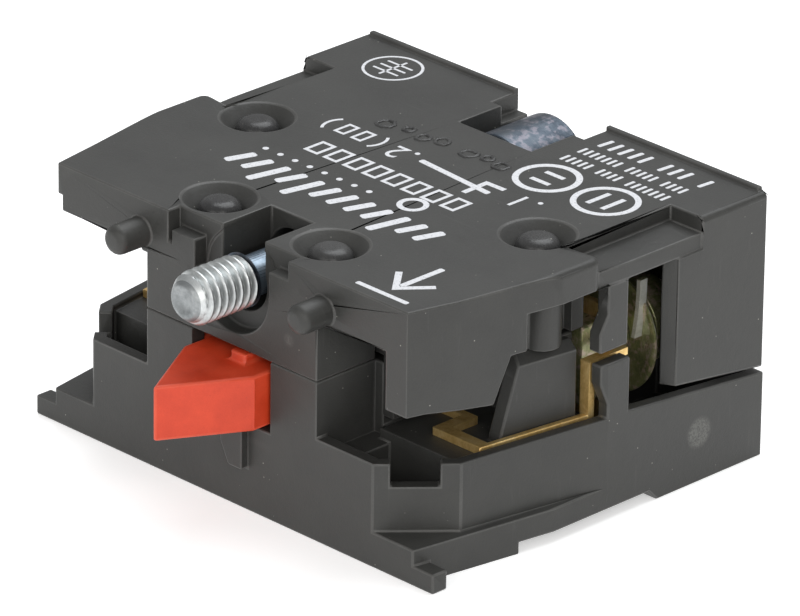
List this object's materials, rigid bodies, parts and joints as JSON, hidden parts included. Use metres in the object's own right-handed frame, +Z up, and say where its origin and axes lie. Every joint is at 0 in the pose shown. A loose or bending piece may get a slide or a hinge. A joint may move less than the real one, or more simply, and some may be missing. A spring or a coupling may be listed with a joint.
{
  "type": "push button contact block",
  "caption": "Normally closed contact block of a panel push button, with spring-returned plunger, double-break bridge, screw terminals and captive fixing screw.",
  "frame": {"origin": "middle of the block's length and width, plunger and back face included, at the underside", "axes": "+X along the width towards the right terminal, +Y from the plunger nose to the back face, +Z up to the top plate"},
  "size_m": [0.0404, 0.0406, 0.0207],
  "materials": {
    "shell": "charcoal glass-filled moulding, fine speckle",
    "plunger_red": "orange-red moulding, soft satin",
    "bright_zinc": "bright zinc plate",
    "yellow_zinc": "yellow passivated zinc plate",
    "spring_steel": "drawn spring wire",
    "contact_brass": "stamped brass strip",
    "bridge_brass": "stamped brass strip",
    "silver": "silver alloy contact face"
  },
  "bodies": {
    "housing": {"base_housing": "shell", "cover_housing": "shell", "fixed_contact_right": "contact_brass", "fixed_tip_right": "silver", "terminal_nut_right": "yellow_zinc", "fixed_contact_left": "contact_brass", "fixed_tip_left": "silver", "terminal_nut_left": "yellow_zinc"},
    "plunger": {"plunger": "plunger_red", "return_spring": "spring_steel"},
    "bridge": {"contact_bridge": "bridge_brass", "contact_spring": "spring_steel", "bridge_tip_right": "silver", "bridge_tip_left": "silver"},
    "fixing_screw": {"fixing_screw": "bright_zinc"},
    "clamp_right": {"clamp_plate_right": "yellow_zinc", "lock_washer_right": "yellow_zinc"},
    "terminal_screw_right": {"terminal_screw_right": "yellow_zinc"},
    "clamp_left": {"clamp_plate_left": "yellow_zinc", "lock_washer_left": "yellow_zinc"},
    "terminal_screw_left": {"terminal_screw_left": "yellow_zinc"}
  },
  "joints": [
    {"name": "plunger_slide", "type": "slide", "parent": "housing", "child": "plunger", "axis": [0, 1, 0], "range_m": [0, 0.0045], "stiffness_N_per_m": 400, "springref_m": -0.003, "deforming": ["return_spring"]},
    {"name": "bridge_slide", "type": "slide", "parent": "housing", "child": "bridge", "axis": [0, 1, 0], "range_m": [0, 0.003], "deforming": ["contact_spring"]},
    {"name": "fixing_screw_turn", "type": "hinge", "parent": "housing", "child": "fixing_screw", "pos_m": [0, 0.01525, 0.01688], "axis": [0, 1, 0], "continuous": true},
    {"name": "clamp_right_slide", "type": "slide", "parent": "housing", "child": "clamp_right", "axis": [0, -1, 0], "range_m": [0, 0.0024]},
    {"name": "terminal_right_turn", "type": "hinge", "parent": "clamp_right", "child": "terminal_screw_right", "pos_m": [0.014, 0.01325, 0.0107], "axis": [0, -1, 0], "range_deg": [0, 1440]},
    {"name": "clamp_left_slide", "type": "slide", "parent": "housing", "child": "clamp_left", "axis": [0, -1, 0], "range_m": [0, 0.0024]},
    {"name": "terminal_left_turn", "type": "hinge", "parent": "clamp_left", "child": "terminal_screw_left", "pos_m": [-0.014, 0.01325, 0.0107], "axis": [0, -1, 0], "range_deg": [0, 1440]}
  ],
  "couplings": [
    {"joint": "bridge_slide", "follows": "plunger_slide", "ratio": 0.6667},
    {"joint": "terminal_right_turn", "follows": "clamp_right_slide", "rad_per_m": 10472},
    {"joint": "terminal_left_turn", "follows": "clamp_left_slide", "rad_per_m": 10472}
  ]
}
